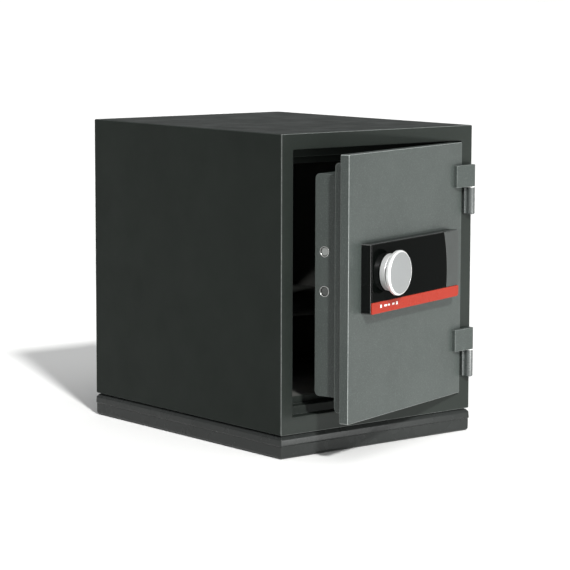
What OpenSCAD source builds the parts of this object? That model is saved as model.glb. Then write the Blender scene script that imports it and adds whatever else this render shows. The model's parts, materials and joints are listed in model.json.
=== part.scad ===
// Fire-resistant cabinet safe: a free-standing filled steel cabinet on a moulded
// plinth, with a stepped door on two lift-off hinges, an electronic lock panel
// with a turning knob, and two round locking bolts.
//
// Row frame: origin at the centre of the footprint on the floor, +X to the right,
// +Y to the rear (the door faces -Y), +Z up. The door stands ajar.
//
// Most modules draw in the "face frame": X as above, Y = 0 on the cabinet's front
// face and growing to the rear, Z = 0 on top of the plinth. on_body() and
// on_door() carry that frame to its place; on_door() also swings it open.

/* [Cabinet] */
// Width of the cabinet
body_w = 404; // [380:1:440]
// Depth of the cabinet, front face to back face
body_d = 505; // [460:1:560]
// Height of the cabinet above the plinth
body_h = 472; // [450:1:520]
// Thickness of the outer steel sheet
sheet_t = 2; // [1.5:0.5:3]
// Thickness of the compartment's liner sheet
liner_t = 1.5; // [1:0.5:2]
// Width of the frame's rim at each side of the door
rim_side = 23.5; // [22:0.5:26]
// Height of the rim above the door
rim_top = 25; // [22:0.5:28]
// Height of the rim below the door
rim_bottom = 27.5; // [24:0.5:30]
// Filled wall behind the compartment
back_wall = 50; // [40:1:60]

/* [Plinth] */
// Height of the plinth
plinth_h = 38; // [30:1:45]
// Height of the plinth's upper lip
plinth_lip_h = 16; // [10:0.5:18]
// How far the lip stands proud of the cabinet
plinth_proud = 1.2; // [0:0.1:4]

/* [Door] */
// Gap around the closed door
door_gap = 2; // [1.5:0.5:3]
// Thickness of the door's front plate
plate_t = 15.7; // [14:0.1:18]
// How far the second step is set in from the plate's edge
step_inset = 14; // [12:0.5:16]
// Depth of the second step's back face
step_back = 34; // [30:1:38]
// How far the inner box is set in from the plate's edge
box_inset = 33.5; // [30:0.5:38]
// Depth of the inner box's back face
box_back = 82; // [70:1:86]
// Angle at which the door stands open
door_ajar = 17.6; // [0:0.1:90]

/* [Hinges] */
// Hinge axis, in from the cabinet's side
hinge_in = 9; // [7.5:0.1:10]
// Hinge axis, in front of the cabinet's face
hinge_out = 7.6; // [7.2:0.1:10]
// Radius of the hinge knuckles
knuckle_r = 7; // [6:0.1:7.1]
// Radius of the hinge pins
hinge_pin_r = 4; // [3:0.5:5]
// Top of the upper hinge's door block, above the plinth
upper_hinge_top = 408; // [395:1:420]
// Top of the lower hinge's door block, above the plinth
lower_hinge_top = 137.5; // [130:1:150]

/* [Lock] */
// Left edge of the lock panel, from the cabinet's middle
panel_left = -139.7; // [-145:0.1:-130]
// Right edge of the lock panel, from the cabinet's middle
panel_right = 133; // [120:0.5:140]
// Lower edge of the lock panel, above the plinth
panel_bottom = 197.5; // [190:0.5:205]
// Height of the lock panel
panel_h = 109; // [100:1:115]
// How far the lock panel stands off the door
panel_out = 19.3; // [18:0.1:24]
// Height of the coloured strip along the panel
strip_h = 18; // [14:0.5:20]
// Knob and spindle axis, from the cabinet's middle
knob_x = -89.4; // [-92:0.1:-85]
// Knob and spindle axis, above the plinth
knob_z = 259.3; // [255:0.1:265]
// Radius of the knob's front disc
knob_r = 35; // [30:1:38]
// Radius of the locking bolts
bolt_r = 7; // [6:0.5:8]
// Distance between the two locking bolts
bolt_pitch = 62; // [58:1:70]
// Travel of the locking bolts
bolt_throw = 20; // [16:1:22]

/* [Inside] */
// Height of the shelf's top, above the plinth
shelf_top = 173; // [150:1:300]
// Distance between the two floor anchor holes
anchor_pitch = 220; // [160:1:240]
// Radius of the floor anchor holes
anchor_r = 7; // [5:0.5:8]

/* [Hidden] */
$fn = 64;
// Used only to run a cut past a face.
eps = 1;

front_y = -body_d / 2;
half_w = body_w / 2;
hinge_x = half_w - hinge_in;

// Door opening in the front frame.
opening_x = half_w - rim_side;
opening_z0 = rim_bottom;
opening_z1 = body_h - rim_top;

// Closed door plate.
plate_x = opening_x - door_gap;
plate_z0 = opening_z0 + door_gap;
plate_z1 = opening_z1 - door_gap;

// The frame's steps follow the door's, with room for the door to swing out.
jamb1_y = plate_t + 2;
jamb2_y = step_back + 2;
jamb2_clear = 3;
jamb3_clear = 10.5;
compartment_x = plate_x - box_inset + jamb3_clear;
compartment_z0 = plate_z0 + box_inset - jamb3_clear;
compartment_z1 = plate_z1 - box_inset + jamb3_clear;
compartment_y0 = jamb2_y + sheet_t;
compartment_y1 = body_d - back_wall;

// Plinth.
lip_z0 = plinth_h - plinth_lip_h - 1.5;
lip_z1 = plinth_h - 1.5;
plinth_band_inset = 0.5;
plinth_deck_inset = 5;
plinth_bolt_x = half_w - 50;
plinth_bolt_y = body_d / 2 - 60;
plinth_bolt_r = 4;
bolt_head_r = 7.5;
bolt_head_h = 5.5;
bolt_seat_z = 12;
bolt_reach = 14;
plinth_boss_r = 16;
anchor_y = 60;
anchor_wall = 3;

// Hinges.
hinge_block_h = 36;
hinge_washer_t = 1.5;
hinge_barrel_h = 44.5;
hinge_block_left = 150;
hinge_block_edge = 5.8;
hinge_cap_h = 6;
run_gap = 0.05;

// Door shell: the plate's rear flange, and the fill's edge inside the inner box.
plate_flange = 22;
fill_in = box_inset + 4;
fill_x = plate_x - fill_in;

// Lock panel.
panel_top = panel_bottom + panel_h;
panel_wall = 2.5;
face_t = 2;
strip_proud = 0.8;
face_arc_r = 210;
face_arc_x = 95.4 - face_arc_r;
face_arc_z = 240;
face_z0 = panel_bottom + strip_h + 0.5;
cover_gap = 0.3;
board_x0 = -50;
board_x1 = 76;
board_z0 = 222;
board_z1 = 298;
board_t = 1.6;
board_y = -13.6;
battery_x0 = 98;
battery_w = 26.5;
battery_z0 = 233;
battery_h = 46.5;
battery_t = 16.4;
clip_h = 6;

// Lock works inside the door.
bolt_y = 64.5;
box_left = -(plate_x - box_inset);
bolt_len = 31.5;
carrier_x0 = box_left + bolt_len;
carrier_x1 = carrier_x0 + 56;
carrier_half_h = 42;
carrier_t = 5;
crank_r = bolt_throw / (2 * sin(45));
crank_pin_r = 3;
crank_slack = 0.6;
crank_disc_r = crank_r + 5;
crank_y0 = 57;
crank_y1 = bolt_y - carrier_t / 2 - 0.5;
spindle_r = 5;
spindle_bush_r = 8;
bolt_pocket_x = box_left - bolt_throw - 5;
strike_t = 4;
guide_x = carrier_x0 + 12.5;
guide_dz = 28;
guide_r = 3;
solenoid_x = carrier_x0 + 26;
solenoid_pin_r = 2.5;
solenoid_top = knob_z - carrier_half_h - 9;
notch_h = 6;
case_x0 = -134;
case_x1 = -22;
case_z0 = 166;
case_z1 = 322;
case_y0 = 48;
case_y1 = 78;
case_t = 2;
window_x0 = case_x0 + 14;
window_x1 = case_x1 - 4;
window_z0 = case_z0 + 4;
window_z1 = case_z1 - 4;
cover_lap = 10;
cable_r = 1.5;
cable_x = -34;
cable_z = 226;

body_colour = [0.17, 0.19, 0.18];
frame_colour = [0.22, 0.24, 0.23];
door_colour = [0.42, 0.45, 0.44];
plinth_colour = [0.20, 0.21, 0.20];
liner_colour = [0.10, 0.11, 0.11];
fill_colour = [0.72, 0.70, 0.65];
black = [0.07, 0.08, 0.08];
bright = [0.78, 0.79, 0.79];
red = [0.80, 0.22, 0.16];

// ---------------------------------------------------------------- helpers

// Face frame, fixed to the cabinet.
module on_body() {
  translate([0, front_y, plinth_h]) children();
}

// Face frame, swung open about the hinge axis.
module on_door() {
  on_body()
    translate([hinge_x, -hinge_out, 0])
      rotate([0, 0, door_ajar])
        translate([-hinge_x, hinge_out, 0])
          children();
}

// Box between two corners.
module block(low, high) {
  translate(low) cube(high - low);
}

// Box that is symmetric about X = 0.
module slab(half_x, y0, y1, z0, z1) {
  block([-half_x, y0, z0], [half_x, y1, z1]);
}

// Cylinder along Y, from y0 to y1.
module rod_y(x, z, r, y0, y1) {
  translate([x, y1, z]) rotate([90, 0, 0]) cylinder(r = r, h = y1 - y0);
}

// Cylinder along X, from x0 to x1.
module rod_x(y, z, r, x0, x1) {
  translate([x0, y, z]) rotate([0, 90, 0]) cylinder(r = r, h = x1 - x0);
}

// Cylinder along Z, from z0 to z1.
module rod_z(x, y, r, z0, z1) {
  translate([x, y, z0]) cylinder(r = r, h = z1 - z0);
}

// Both signs of a pair, as the special variable $side.
module each_side() {
  for ($side = [-1, 1]) children();
}

// The four corners of a rectangle, as $cx and $cy.
module each_corner(half_x, half_y) {
  for ($cx = [-half_x, half_x], $cy = [-half_y, half_y]) children();
}

// Point where a line from p touches the circle about c, on the side of -Y.
function touch(p, c, r) =
  let (d = norm(c - p), lean = atan2(c.y - p.y, c.x - p.x), open = asin(r / d))
  c + r * [cos(lean - open - 90), sin(lean - open - 90)];

// ---------------------------------------------------------------- plinth

module plinth_anchor_rods(r, z0, z1) {
  each_side() rod_z($side * anchor_pitch / 2, anchor_y, r, z0, z1);
}

module plinth_bolt_rods(r, z0, z1) {
  each_corner(plinth_bolt_x, plinth_bolt_y) rod_z($cx, $cy, r, z0, z1);
}

// Pockets moulded in the underside, between the rim and two crossed ribs.
module plinth_pockets() {
  rib = 10;
  rim = 16;
  roof_z = plinth_h - 10;
  for (i = [-1, 1], j = [-1, 1])
    scale([i, j, 1])
      block([rib / 2, rib / 2, -eps], [half_w - rim, body_d / 2 - rim, roof_z]);
}

module plinth() {
  band_x = half_w - plinth_band_inset;
  band_y = body_d / 2 - plinth_band_inset;
  lip_x = half_w + plinth_proud;
  lip_y = body_d / 2 + plinth_proud;
  deck_x = half_w - plinth_deck_inset;
  deck_y = body_d / 2 - plinth_deck_inset;
  color(plinth_colour)
    difference() {
      union() {
        block([-band_x, -band_y, 0], [band_x, band_y, lip_z0]);
        block([-lip_x, -lip_y, lip_z0], [lip_x, lip_y, lip_z1]);
        block([-deck_x, -deck_y, lip_z1], [deck_x, deck_y, plinth_h]);
      }
      difference() {
        plinth_pockets();
        plinth_anchor_rods(plinth_boss_r, -eps, plinth_h);
        plinth_bolt_rods(plinth_boss_r, -eps, plinth_h);
      }
      plinth_anchor_rods(anchor_r + anchor_wall, -eps, plinth_h + eps);
      plinth_bolt_rods(plinth_bolt_r + 0.5, -eps, plinth_h + eps);
      plinth_bolt_rods(bolt_head_r + 1.5, -eps, bolt_seat_z);
    }
}

// Hexagon bolts that hold the plinth under the cabinet.
module plinth_bolts() {
  color("silver")
    each_corner(plinth_bolt_x, plinth_bolt_y) {
      rod_z($cx, $cy, plinth_bolt_r, bolt_seat_z, plinth_h + bolt_reach);
      translate([$cx, $cy, bolt_seat_z - bolt_head_h])
        cylinder(r = bolt_head_r, h = bolt_head_h, $fn = 6);
    }
}

// ---------------------------------------------------------------- cabinet

// Everything that passes through the cabinet's floor.
module floor_holes() {
  translate([0, -front_y, 0]) {
    plinth_anchor_rods(anchor_r + anchor_wall, -eps, compartment_z0 + eps);
    plinth_bolt_rods(plinth_bolt_r + 0.1, -eps, bolt_reach);
  }
}

module outer_casing() {
  color(body_colour)
    on_body()
      difference() {
        slab(half_w, sheet_t, body_d - sheet_t, 0, body_h);
        slab(half_w - sheet_t, 0, body_d, sheet_t, body_h - sheet_t);
        floor_holes();
      }
}

module back_panel() {
  color(body_colour) on_body() slab(half_w, body_d - sheet_t, body_d, 0, body_h);
}

// The recess the door closes into, grown outwards by `grow`.
module door_recess(grow) {
  slab(opening_x + grow, -eps, jamb1_y + grow, opening_z0 - grow, opening_z1 + grow);
  inset = step_inset - jamb2_clear;
  slab(plate_x - inset + grow, -eps, jamb2_y + grow,
       plate_z0 + inset - grow, plate_z1 - inset + grow);
}

// Front ring, with the stepped jamb folded in behind it.
module front_frame() {
  color(frame_colour)
    on_body()
      difference() {
        union() {
          slab(half_w, 0, sheet_t, 0, body_h);
          intersection() {
            door_recess(sheet_t);
            slab(half_w, 0, body_d, 0, body_h);
          }
        }
        door_recess(0);
        slab(compartment_x, 0, body_d, compartment_z0, compartment_z1);
      }
}

module bolt_rods(r, x0, x1) {
  each_side() rod_x(bolt_y, knob_z + $side * bolt_pitch / 2, r, x0, x1);
}

// Folded sheet around the compartment: floor, sides and roof.
module inner_liner() {
  color(liner_colour)
    on_body()
      difference() {
        slab(compartment_x + liner_t, compartment_y0, compartment_y1,
             compartment_z0 - liner_t, compartment_z1 + liner_t);
        slab(compartment_x, 0, body_d, compartment_z0, compartment_z1);
        floor_holes();
        bolt_rods(bolt_r + 2, bolt_pocket_x, 0);
      }
}

// Flat sheet welded across the rear of the liner.
module liner_back() {
  color(liner_colour)
    on_body()
      slab(compartment_x + liner_t, compartment_y1, compartment_y1 + liner_t,
           compartment_z0 - liner_t, compartment_z1 + liner_t);
}

// Block of steel behind the liner's left wall, around both bolts.
module strike_block() {
  half_y = 15;
  past_bolt = 20;
  x1 = -compartment_x - liner_t;
  block([x1 - strike_t, bolt_y - half_y, knob_z - bolt_pitch / 2 - past_bolt],
        [x1, bolt_y + half_y, knob_z + bolt_pitch / 2 + past_bolt]);
}

// Drilled steel plate behind the liner, which the bolts lock into.
module strike_plate() {
  color("gray")
    on_body()
      difference() {
        strike_block();
        bolt_rods(bolt_r + 1, bolt_pocket_x, 0);
      }
}

// Cast fire-resisting fill between the casing, the frame and the liner.
module body_insulation() {
  color(fill_colour)
    on_body()
      difference() {
        slab(half_w - sheet_t, sheet_t, body_d - sheet_t, sheet_t, body_h - sheet_t);
        door_recess(sheet_t);
        slab(compartment_x + liner_t, 0, compartment_y1 + liner_t,
             compartment_z0 - liner_t, compartment_z1 + liner_t);
        strike_block();
        bolt_rods(bolt_r + 1, bolt_pocket_x, 0);
        floor_holes();
      }
}

module anchor_sleeves() {
  color("gray")
    on_body()
      translate([0, -front_y, 0])
        difference() {
          plinth_anchor_rods(anchor_r + anchor_wall, 0, compartment_z0);
          plinth_anchor_rods(anchor_r, -eps, compartment_z0 + eps);
        }
}

// Folded tray with a lip turned down at the front and the back.
module shelf() {
  shelf_t = 1.5;
  lip_h = 6;
  y0 = 110;
  y1 = compartment_y1 - 8;
  x = compartment_x - 1.5;
  color(liner_colour)
    on_body() {
      slab(x, y0, y1, shelf_top - shelf_t, shelf_top);
      slab(x, y0, y0 + shelf_t, shelf_top - lip_h, shelf_top - shelf_t);
      slab(x, y1 - shelf_t, y1, shelf_top - lip_h, shelf_top - shelf_t);
    }
}

// Four angles on the liner's side walls, under the shelf.
module shelf_supports() {
  top = shelf_top - 1.5;
  leg = 14;
  t = 2;
  length = 30;
  color("gray")
    on_body()
      each_side()
        for (y = [150, compartment_y1 - 90])
          scale([$side, 1, 1])
            translate([compartment_x - leg, y, 0]) {
              block([0, 0, top - t], [leg, length, top]);
              block([leg - t, 0, top - leg], [leg, length, top - t]);
            }
}

// ---------------------------------------------------------------- hinges

// Cabinet half: a barrel with its leaf welded to the frame.
module hinge_barrel(block_top) {
  z1 = block_top - hinge_block_h - hinge_washer_t;
  z0 = z1 - hinge_barrel_h;
  chamfer = 1.5;
  leaf_w = 12;
  leaf_t = 6;
  color(frame_colour)
    on_body()
      difference() {
        union() {
          rod_z(hinge_x, -hinge_out, knuckle_r, z0 + chamfer, z1);
          translate([hinge_x, -hinge_out, z0])
            cylinder(r1 = knuckle_r - chamfer, r2 = knuckle_r, h = chamfer);
          block([hinge_x - leaf_w, -leaf_t, z0 + chamfer], [hinge_x, 0, z1]);
        }
        rod_z(hinge_x, -hinge_out, hinge_pin_r, z0 - eps, z1 + eps);
      }
}

module hinge_pin(block_top) {
  z0 = block_top - hinge_block_h - hinge_washer_t - hinge_barrel_h;
  color("silver")
    on_body() rod_z(hinge_x, -hinge_out, hinge_pin_r, z0, block_top - hinge_cap_h - 1);
}

module hinge_washers() {
  color("white")
    on_body()
      for (block_top = [upper_hinge_top, lower_hinge_top]) {
        z0 = block_top - hinge_block_h - hinge_washer_t;
        difference() {
          rod_z(hinge_x, -hinge_out, knuckle_r, z0, z0 + hinge_washer_t);
          rod_z(hinge_x, -hinge_out, hinge_pin_r + run_gap, z0 - eps, z0 + 5);
        }
      }
}

// Door half: a wedge welded on the plate, with a blind bore for the pin.
module hinge_block(block_top) {
  z0 = block_top - hinge_block_h;
  axis = [hinge_x, -hinge_out];
  corner = [hinge_block_left, -hinge_block_edge];
  back_y = knuckle_r - hinge_out;
  color(door_colour)
    on_door()
      difference() {
        union() {
          translate([0, 0, z0])
            linear_extrude(hinge_block_h)
              polygon([
                [hinge_block_left, 0], corner, touch(corner, axis, knuckle_r),
                axis, [hinge_x, back_y], [plate_x, back_y], [plate_x, 0]
              ]);
          rod_z(axis.x, axis.y, knuckle_r, z0, block_top);
        }
        rod_z(axis.x, axis.y, hinge_pin_r + run_gap, z0 - eps, block_top - hinge_cap_h);
      }
}

// ---------------------------------------------------------------- door shell

// Front plate folded into a pan, with a flange turned in behind.
module door_plate() {
  color(door_colour)
    on_door()
      difference() {
        slab(plate_x, 0, plate_t, plate_z0, plate_z1);
        slab(plate_x - sheet_t, sheet_t, plate_t - sheet_t,
             plate_z0 + sheet_t, plate_z1 - sheet_t);
        slab(plate_x - plate_flange, sheet_t, plate_t + eps,
             plate_z0 + plate_flange, plate_z1 - plate_flange);
        rod_y(knob_x, knob_z, spindle_bush_r, -eps, sheet_t + eps);
        rod_y(cable_x, cable_z, cable_r + 1, -eps, sheet_t + eps);
        housing_screw_rods(1.9, -eps, sheet_t + eps);
      }
}

// Second step: a ring behind the plate.
module door_step() {
  color(door_colour)
    on_door()
      difference() {
        slab(plate_x - step_inset, plate_t, step_back,
             plate_z0 + step_inset, plate_z1 - step_inset);
        slab(plate_x - step_inset - sheet_t, plate_t - eps, step_back - sheet_t,
             plate_z0 + step_inset + sheet_t, plate_z1 - step_inset - sheet_t);
        slab(fill_x, 0, step_back + eps, plate_z0 + fill_in, plate_z1 - fill_in);
      }
}

// Inner box: the door's deep inside cover, with a window over the lock.
module door_liner() {
  x = plate_x - box_inset;
  z0 = plate_z0 + box_inset;
  z1 = plate_z1 - box_inset;
  screw_hole_r = 1.6;
  color(door_colour)
    on_door()
      difference() {
        slab(x, step_back, box_back, z0, z1);
        slab(x - sheet_t, step_back - eps, box_back - sheet_t, z0 + sheet_t, z1 - sheet_t);
        bolt_rods(bolt_r + 1.8, box_left - eps, box_left + sheet_t + eps);
        block([window_x0, box_back - sheet_t - eps, window_z0],
              [window_x1, box_back + eps, window_z1]);
        cover_screw_rods(screw_hole_r, box_back - sheet_t - eps, box_back + eps);
      }
}

// Cast fill of the door, with room for the lock works.
module door_insulation() {
  step_in = step_inset + sheet_t + 4;
  color(fill_colour)
    on_door()
      difference() {
        union() {
          slab(plate_x - plate_flange, sheet_t, plate_t,
               plate_z0 + plate_flange, plate_z1 - plate_flange);
          slab(plate_x - step_in, plate_t, step_back - sheet_t,
               plate_z0 + step_in, plate_z1 - step_in);
          slab(fill_x, step_back - sheet_t, box_back - sheet_t - 0.5,
               plate_z0 + fill_in, plate_z1 - fill_in);
        }
        block([box_left - eps, case_y0 - 3, case_z0 - 4], [case_x1 + 4, box_back, case_z1 + 4]);
        rod_y(knob_x, knob_z, spindle_bush_r + 0.5, 0, case_y0);
        rod_y(cable_x, cable_z, cable_r + 1, 0, case_y0);
        housing_screw_rods(4, 0, 8);
      }
}

// Intumescent strip around the back of the plate.
module fire_seal() {
  inner = 11;
  outer = 3;
  color("dimgray")
    on_door()
      difference() {
        slab(plate_x - outer, plate_t, plate_t + 1.5, plate_z0 + outer, plate_z1 - outer);
        slab(plate_x - inner, 0, plate_t + 5, plate_z0 + inner, plate_z1 - inner);
      }
}

// ---------------------------------------------------------------- lock panel

// Axes of the four screws that hold the panel on the door.
module housing_screw_rods(r, y0, y1) {
  for (x = [panel_left + 12, panel_right - 8], z = [panel_bottom + 10, panel_top - 10])
    rod_y(x, z, r, y0, y1);
}

module lock_housing() {
  web_y = face_t - panel_out;
  color(black)
    on_door()
      difference() {
        union() {
          difference() {
            block([panel_left, web_y, panel_bottom], [panel_right, 0, panel_top]);
            block([panel_left + panel_wall, web_y + panel_wall, panel_bottom + panel_wall],
                  [panel_right - panel_wall, eps, panel_top - panel_wall]);
          }
          housing_screw_rods(4, web_y, 0);
          for (x = [board_x0 + 5, board_x1 - 5], z = [board_z0 + 5, board_z1 - 5])
            rod_y(x, z, 3, web_y, board_y);
        }
        rod_y(knob_x, knob_z, spindle_bush_r + 1, web_y - eps, web_y + panel_wall + eps);
        block([battery_x0 - 3, web_y - eps, battery_z0 - 3],
              [battery_x0 + battery_w + 1, web_y + panel_wall + eps,
               battery_z0 + battery_h + clip_h + 3]);
        housing_screw_rods(1.7, -11, eps);
      }
}

// Round-ended outline shared by the glossy face and the battery cover.
module face_arc(grow) {
  rod_y(face_arc_x, face_arc_z, face_arc_r + grow, -panel_out - eps, 0);
}

module keypad_face() {
  color(black)
    on_door()
      difference() {
        intersection() {
          block([panel_left, -panel_out, face_z0], [panel_right, face_t - panel_out, panel_top]);
          face_arc(0);
        }
        rod_y(knob_x, knob_z, spindle_bush_r + 1, -panel_out - eps, 0);
      }
}

// End cover, which slides off to the right over the battery.
module battery_cover() {
  color(door_colour)
    on_door()
      difference() {
        block([0, -panel_out, face_z0], [panel_right, face_t - panel_out - 0.05, panel_top]);
        face_arc(cover_gap);
      }
}

module accent_strip() {
  color(red)
    on_door()
      block([panel_left + 0.5, -panel_out - strip_proud, panel_bottom + 0.3],
            [panel_right, face_t - panel_out, panel_bottom + strip_h]);
}

module circuit_board() {
  color("darkgreen")
    on_door()
      block([board_x0, board_y, board_z0], [board_x1, board_y + board_t, board_z1]);
}

module battery() {
  y1 = -0.4;
  color("dimgray")
    on_door() {
      block([battery_x0, y1 - battery_t, battery_z0],
            [battery_x0 + battery_w, y1, battery_z0 + battery_h]);
      for (x = [-6.5, 6.5])
        rod_z(battery_x0 + battery_w / 2 + x, y1 - battery_t / 2, 3,
              battery_z0 + battery_h, battery_z0 + battery_h + 2);
    }
}

// Snap connector on top of the battery.
module battery_clip() {
  y1 = -0.4;
  z0 = battery_z0 + battery_h;
  color(black)
    on_door()
      difference() {
        block([battery_x0, y1 - battery_t, z0], [battery_x0 + battery_w, y1, z0 + clip_h]);
        for (x = [-6.5, 6.5])
          rod_z(battery_x0 + battery_w / 2 + x, y1 - battery_t / 2, 3.1, z0 - eps, z0 + 2.5);
      }
}

module housing_screws() {
  color("silver")
    on_door() {
      housing_screw_rods(1.6, -10, sheet_t);
      housing_screw_rods(3.5, sheet_t, sheet_t + 2.5);
    }
}

// ---------------------------------------------------------------- knob drive

// Flanged bearing for the spindle in the door's plate.
module spindle_bush() {
  color("goldenrod")
    on_door()
      difference() {
        union() {
          rod_y(knob_x, knob_z, spindle_bush_r, -3, plate_t);
          rod_y(knob_x, knob_z, spindle_bush_r + 4, -2, 0);
        }
        rod_y(knob_x, knob_z, spindle_r + run_gap, -5, plate_t + eps);
      }
}

// Turned knob: a wide front disc and a narrower rear disc, with a groove between.
module knob() {
  gap = 0.4;
  rear_r = 29;
  groove_r = 24;
  rear_t = 9.8;
  groove_t = 5;
  disc_t = 7;
  chamfer = 2;
  y0 = -panel_out - gap;
  top = rear_t + groove_t + disc_t;
  color(bright)
    on_door()
      difference() {
        translate([knob_x, y0, knob_z])
          rotate([90, 0, 0])
            rotate_extrude()
              polygon([
                [0, 0], [rear_r - 1, 0], [rear_r, 1], [rear_r, rear_t - 1],
                [rear_r - 1, rear_t], [groove_r, rear_t], [groove_r, rear_t + groove_t],
                [knob_r - 1, rear_t + groove_t], [knob_r, rear_t + groove_t + 1],
                [knob_r, top - chamfer], [knob_r - chamfer, top], [0, top]
              ]);
        rod_y(knob_x, knob_z, spindle_r, y0 - 14, 0);
        rod_z(knob_x, y0 - rear_t / 2, 2, knob_z - knob_r, knob_z);
      }
}

// Grub screw that holds the knob on the spindle, from below.
module knob_screw() {
  color("dimgray")
    on_door()
      rod_z(knob_x, -panel_out - 0.4 - 4.9, 1.9, knob_z - 22, knob_z - spindle_r);
}

module spindle() {
  color("silver")
    on_door() rod_y(knob_x, knob_z, spindle_r, -panel_out - 14.4, crank_y0);
}

// Disc on the spindle's inner end, with the pin that pushes the carrier.
module crank() {
  color("silver")
    on_door() {
      rod_y(knob_x, knob_z, crank_disc_r, crank_y0, crank_y1);
      rod_y(knob_x + bolt_throw / 2, knob_z + bolt_throw / 2, crank_pin_r,
            crank_y1, bolt_y + carrier_t / 2 + 1);
    }
}

// ---------------------------------------------------------------- lock works

// Open tray that carries the works inside the inner box.
module lock_case() {
  color("gray")
    on_door()
      difference() {
        block([case_x0, case_y0, case_z0], [case_x1, case_y1, case_z1]);
        block([case_x0 + case_t, case_y0 + case_t, case_z0 + case_t],
              [case_x1 - case_t, case_y1 + eps, case_z1 - case_t]);
        bolt_rods(bolt_r + 0.2, case_x0 - eps, case_x0 + case_t + eps);
        rod_y(knob_x, knob_z, spindle_r + run_gap, 0, case_y0 + case_t + eps);
        rod_y(cable_x, cable_z, cable_r + 1, 0, case_y0 + case_t + eps);
        guide_rods(guide_r, 0, case_y0 + case_t + eps);
      }
}

module bolt_bushes() {
  color("silver")
    on_door()
      difference() {
        bolt_rods(bolt_r + 1.8, box_left - 0.4, box_left + 5);
        bolt_rods(bolt_r + run_gap, box_left - eps, box_left + 6);
      }
}

module locking_bolts() {
  color("silver") on_door() bolt_rods(bolt_r, box_left - 0.2, carrier_x0);
}

// Flat slide that joins the bolts: a crank slot, two guide slots, two lock notches.
module bolt_carrier() {
  y0 = bolt_y - carrier_t / 2;
  y1 = bolt_y + carrier_t / 2;
  slot_r = crank_pin_r + crank_slack;
  slot_x = knob_x + bolt_throw / 2;
  guide_play = guide_r + 0.2;
  notch_x = solenoid_pin_r + 0.5;
  color("gray")
    on_door()
      difference() {
        block([carrier_x0, y0, knob_z - carrier_half_h], [carrier_x1, y1, knob_z + carrier_half_h]);
        block([slot_x - slot_r, y0 - eps, knob_z + bolt_throw / 2 - slot_r - 0.4],
              [slot_x + slot_r, y1 + eps, knob_z + crank_r + slot_r + 0.4]);
        each_side() {
          z = knob_z + $side * guide_dz;
          block([guide_x - guide_play, y0 - eps, z - guide_play],
                [guide_x + bolt_throw + guide_play, y1 + eps, z + guide_play]);
        }
        for (x = [solenoid_x, solenoid_x + bolt_throw])
          block([x - notch_x, y0 - eps, knob_z - carrier_half_h - eps],
                [x + notch_x, y1 + eps, knob_z - carrier_half_h + notch_h]);
      }
}

module guide_rods(r, y0, y1) {
  each_side() rod_y(guide_x, knob_z + $side * guide_dz, r, y0, y1);
}

// Shoulder screws that the carrier slides on.
module guide_screws() {
  head_y = bolt_y + carrier_t / 2 + 0.3;
  color("silver")
    on_door() {
      guide_rods(guide_r, case_y0, head_y);
      guide_rods(5, head_y, head_y + 3);
    }
}

module solenoid() {
  w = 20;
  h = 32;
  color("goldenrod")
    on_door()
      difference() {
        union() {
          block([solenoid_x - w / 2, bolt_y - w / 2, solenoid_top - h],
                [solenoid_x + w / 2, bolt_y + w / 2, solenoid_top]);
          block([solenoid_x - w / 2, case_y0 + case_t, solenoid_top - h],
                [solenoid_x + w / 2, bolt_y - w / 2, solenoid_top - h + 14]);
        }
        rod_z(solenoid_x, bolt_y, solenoid_pin_r + run_gap, solenoid_top - 20, solenoid_top + eps);
      }
}

// Pin that rises into a notch of the carrier and holds the bolts.
module solenoid_pin() {
  color("silver")
    on_door()
      rod_z(solenoid_x, bolt_y, solenoid_pin_r, solenoid_top - 18,
            knob_z - carrier_half_h - 2.5);
}

// Unit vector along v.
function unit(v) = v / norm(v);

// Tube of radius r along a route, as one closed mesh with mitred corners.
module tube(route, r, sides = 8) {
  n = len(route);
  lean = [1, 0, -1];
  along = [for (i = [0:n - 1])
    unit(unit(route[min(i + 1, n - 1)] - route[min(i, n - 2)])
         + unit(route[max(i, 1)] - route[max(i - 1, 0)]))];
  points = [for (i = [0:n - 1], k = [0:sides - 1])
    let (u = unit(cross(along[i], lean)), v = cross(along[i], u), a = 360 * k / sides)
    route[i] + r * (cos(a) * u + sin(a) * v)];
  walls = [for (i = [0:n - 2], k = [0:sides - 1])
    let (next = (k + 1) % sides)
    [i * sides + k, (i + 1) * sides + k, (i + 1) * sides + next, i * sides + next]];
  ends = [[for (k = [0:sides - 1]) k], [for (k = [sides - 1:-1:0]) (n - 1) * sides + k]];
  polyhedron(points, concat(walls, ends));
}

// Cable from the circuit board, through the door, to the solenoid.
module lock_cable() {
  color(black)
    on_door()
      tube([
        [cable_x, board_y + board_t, cable_z],
        [cable_x, bolt_y - 4, cable_z],
        [cable_x - 3, bolt_y, cable_z - 4],
        [cable_x - 20, bolt_y, solenoid_top - 12],
        [solenoid_x + 10, bolt_y, solenoid_top - 14]
      ], cable_r);
}

// Axes of the screws around the lock cover.
module cover_screw_rods(r, y0, y1) {
  lap = cover_lap / 2;
  for (x = [window_x0 - lap, window_x1 + lap],
       z = [window_z0 - lap, (window_z0 + window_z1) / 2, window_z1 + lap])
    rod_y(x, z, r, y0, y1);
}

// Plate over the lock window in the inner box.
module lock_cover() {
  color(door_colour)
    on_door()
      difference() {
        block([window_x0 - cover_lap, box_back, window_z0 - cover_lap],
              [window_x1 + cover_lap, box_back + 1.5, window_z1 + cover_lap]);
        cover_screw_rods(1.6, box_back - eps, box_back + 3);
      }
}

module cover_screws() {
  color("silver")
    on_door() {
      cover_screw_rods(1.5, box_back - sheet_t, box_back + 1.5);
      cover_screw_rods(3, box_back + 1.5, box_back + 3);
    }
}

// ---------------------------------------------------------------- nodes

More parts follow.
